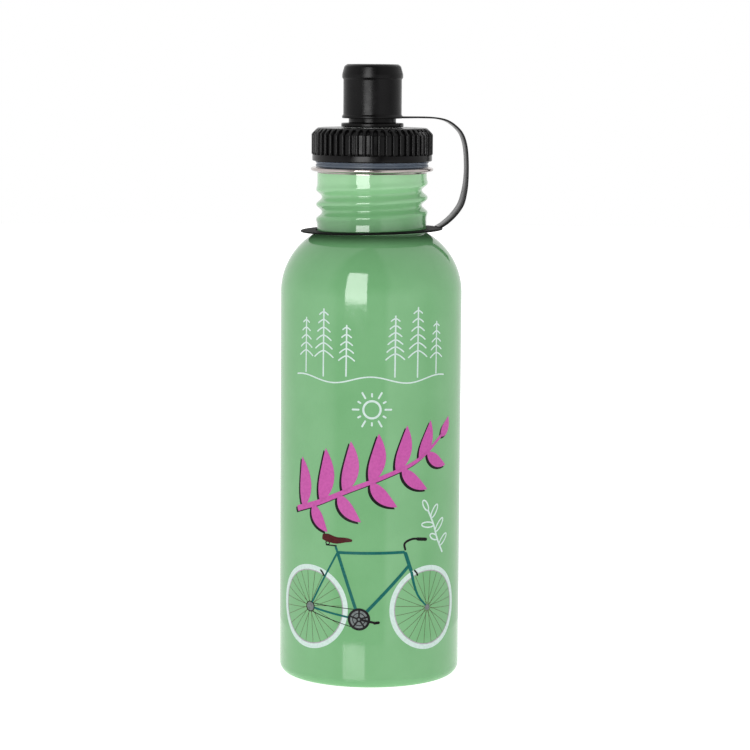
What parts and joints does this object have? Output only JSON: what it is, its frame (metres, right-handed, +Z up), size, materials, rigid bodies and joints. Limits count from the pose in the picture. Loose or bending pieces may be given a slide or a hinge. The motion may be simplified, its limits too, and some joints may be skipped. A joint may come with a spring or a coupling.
{
  "type": "bicycle water bottle",
  "caption": "Slim steel drinking bottle with a threaded neck, ribbed screw cap, push-pull nozzle and a dust cover tied to a loose neck ring by a flexible strap.",
  "frame": {"origin": "middle of the base, on the surface that the bottle stands on", "axes": "+Z up along the bottle's axis, +X to the right as its printed front is seen, +Y to the back"},
  "size_m": [0.0756, 0.073, 0.2467],
  "materials": {
    "green_enamel": "glossy enamel over steel",
    "bare_steel": "bare satin stainless steel",
    "black_plastic": "moulded satin black",
    "strap_plastic": "flexible satin black",
    "seal_silicone": "translucent blue-grey silicone",
    "clear_silicone": "milky silicone",
    "black_rubber": "matt black"
  },
  "bodies": {
    "bottle": {"bottle_shell": "green_enamel", "base_pan": "bare_steel"},
    "seal": {"cap_seal": "seal_silicone"},
    "cap": {"cap_plug": "black_plastic", "cap_grip": "black_plastic", "spout": "black_plastic", "spout_gasket": "clear_silicone", "nozzle_oring": "black_rubber"},
    "nozzle": {"nozzle": "black_plastic", "mouthpiece_sleeve": "clear_silicone"},
    "ring": {"neck_ring": "strap_plastic"},
    "tether": {"tether_strap": "strap_plastic"},
    "cover": {"dust_cover": "black_plastic"}
  },
  "joints": [
    {"name": "cap_turn", "type": "hinge", "parent": "seal", "child": "cap", "pos_m": [0, 0, 0.2], "axis": [0, 0, 1], "range_deg": [0, 720]},
    {"name": "cap_rise", "type": "slide", "parent": "bottle", "child": "seal", "axis": [0, 0, 1], "range_m": [0, 0.01201]},
    {"name": "nozzle_pull", "type": "slide", "parent": "cap", "child": "nozzle", "axis": [0, 0, 1], "range_m": [0, 0.0045]},
    {"name": "tether_swivel", "type": "hinge", "parent": "bottle", "child": "ring", "pos_m": [0, 0, 0.18], "axis": [0, 0, 1], "continuous": true},
    {"name": "strap_rise", "type": "slide", "parent": "ring", "child": "tether", "axis": [0, 0, 1], "range_m": [0, 0.01201], "deforming": ["tether_strap"]},
    {"name": "cover_lift", "type": "slide", "parent": "tether", "child": "cover", "axis": [0, 0, 1], "range_m": [0, 0.016]}
  ],
  "couplings": [
    {"joint": "cap_rise", "follows": "cap_turn", "m_per_rad": 0.00095493},
    {"joint": "strap_rise", "follows": "cap_turn", "m_per_rad": 0.00095493}
  ]
}
